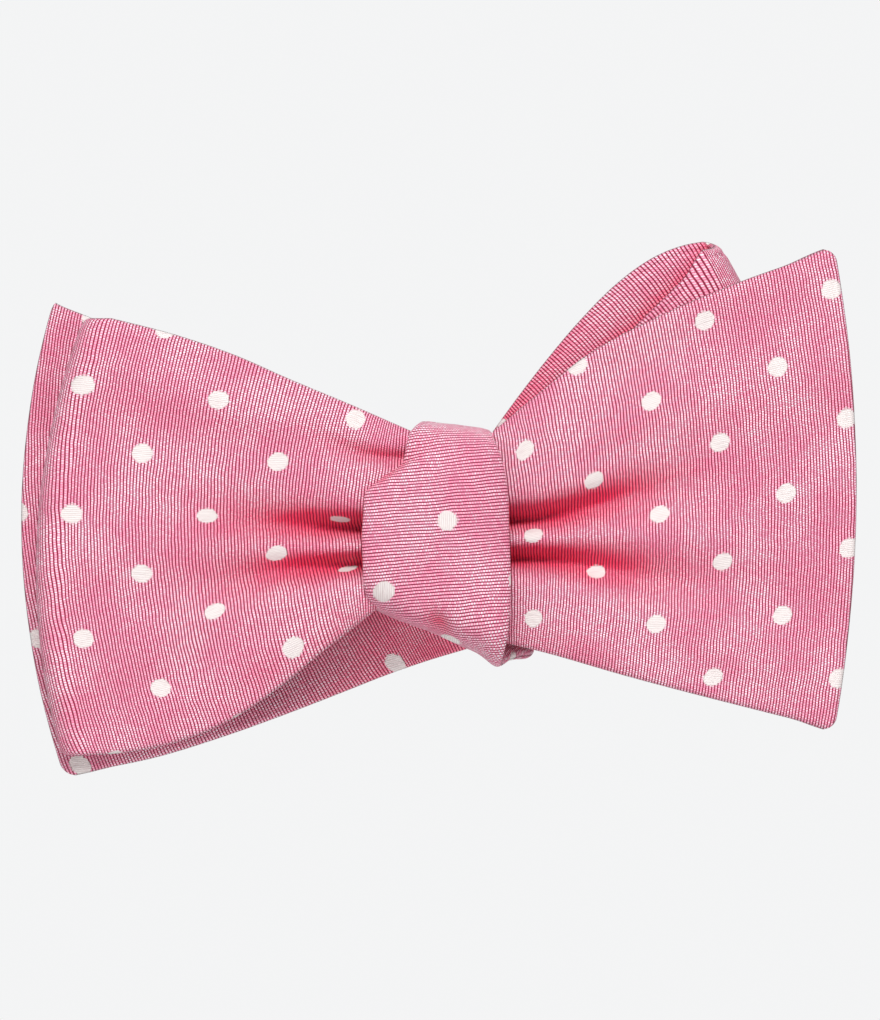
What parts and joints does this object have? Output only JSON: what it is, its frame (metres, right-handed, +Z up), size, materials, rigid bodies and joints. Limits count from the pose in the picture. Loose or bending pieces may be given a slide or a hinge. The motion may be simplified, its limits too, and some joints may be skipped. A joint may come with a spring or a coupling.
{
  "type": "bow tie",
  "caption": "Self-tie silk bow tie, tied, with woven dots: pleated loops and flat ends round a wrapped knot, on a neckband with a slider, hook and eye.",
  "frame": {"origin": "middle of the neck loop, at half the height of the neckband", "axes": "+Z up, -Y to the front, where the bow is, +X to the right of someone facing the wearer"},
  "size_m": [0.1303, 0.1572, 0.0806],
  "materials": {
    "silk": "ribbed woven silk with woven dots",
    "inner_silk": "ribbed woven silk",
    "interlining": "plain woven wool",
    "ribbon": "grosgrain ribbon",
    "thread": "sewing thread",
    "metal": "nickel-plated wire and strip",
    "label": "woven satin label"
  },
  "bodies": {
    "neckband": {"left_band_outer_shell": "silk", "left_band_interlining": "interlining", "left_band_inner_shell": "inner_silk", "right_band_outer_shell": "silk", "right_band_interlining": "interlining", "right_band_inner_shell": "inner_silk", "adjuster_strap": "ribbon", "strap_return_run": "ribbon", "eye_tab": "silk", "strap_tack": "thread", "strap_end_tack": "thread", "eye_tab_tack": "thread", "care_label": "label", "size_label": "label"},
    "knot": {"knot_wrap_outer_shell": "silk", "knot_wrap_interlining": "interlining", "knot_wrap_inner_shell": "inner_silk", "front_pinch": "inner_silk", "back_pinch": "inner_silk"},
    "front_loop": {"front_loop_outer_shell": "silk", "front_loop_interlining": "interlining", "front_loop_inner_shell": "inner_silk"},
    "front_end": {"front_end_outer_shell": "silk", "front_end_interlining": "interlining", "front_end_inner_shell": "inner_silk"},
    "back_end": {"back_end_outer_shell": "silk", "back_end_interlining": "interlining", "back_end_inner_shell": "inner_silk"},
    "back_loop": {"back_loop_outer_shell": "silk", "back_loop_interlining": "interlining", "back_loop_inner_shell": "inner_silk"},
    "slider": {"slider": "metal"},
    "hook": {"hook": "metal"},
    "eye": {"eye": "metal"}
  },
  "joints": [
    {"name": "bow_tilt", "type": "hinge", "parent": "neckband", "child": "knot", "pos_m": [0, -0.0788, 0], "axis": [0, 1, 0], "range_deg": [-8, 8]},
    {"name": "front_loop_flex", "type": "hinge", "parent": "knot", "child": "front_loop", "pos_m": [-0.007, -0.0835, 0], "axis": [0, 0, 1], "range_deg": [-3, 15], "stiffness_Nm_per_rad": 0.02},
    {"name": "front_end_flex", "type": "hinge", "parent": "knot", "child": "front_end", "pos_m": [0.007, -0.0835, 0], "axis": [0, 0, -1], "range_deg": [-3, 15], "stiffness_Nm_per_rad": 0.02},
    {"name": "back_end_flex", "type": "hinge", "parent": "knot", "child": "back_end", "pos_m": [-0.007, -0.073, 0], "axis": [0, 0, -1], "range_deg": [0, 10], "stiffness_Nm_per_rad": 0.02},
    {"name": "back_loop_flex", "type": "hinge", "parent": "knot", "child": "back_loop", "pos_m": [0.007, -0.073, 0], "axis": [0, 0, 1], "range_deg": [0, 10], "stiffness_Nm_per_rad": 0.02},
    {"name": "slider_travel", "type": "hinge", "parent": "neckband", "child": "slider", "pos_m": [0, 0, 0], "axis": [0, 0, 1], "range_deg": [-10, 64], "deforming": ["strap_return_run"]},
    {"name": "hook_lift", "type": "hinge", "parent": "neckband", "child": "hook", "pos_m": [-0.009, 0.06352, 0], "axis": [0, 0, 1], "range_deg": [0, 70]},
    {"name": "eye_swing", "type": "hinge", "parent": "neckband", "child": "eye", "pos_m": [0.009, 0.06352, 0], "axis": [0, 0, 1], "range_deg": [0, 25]}
  ]
}
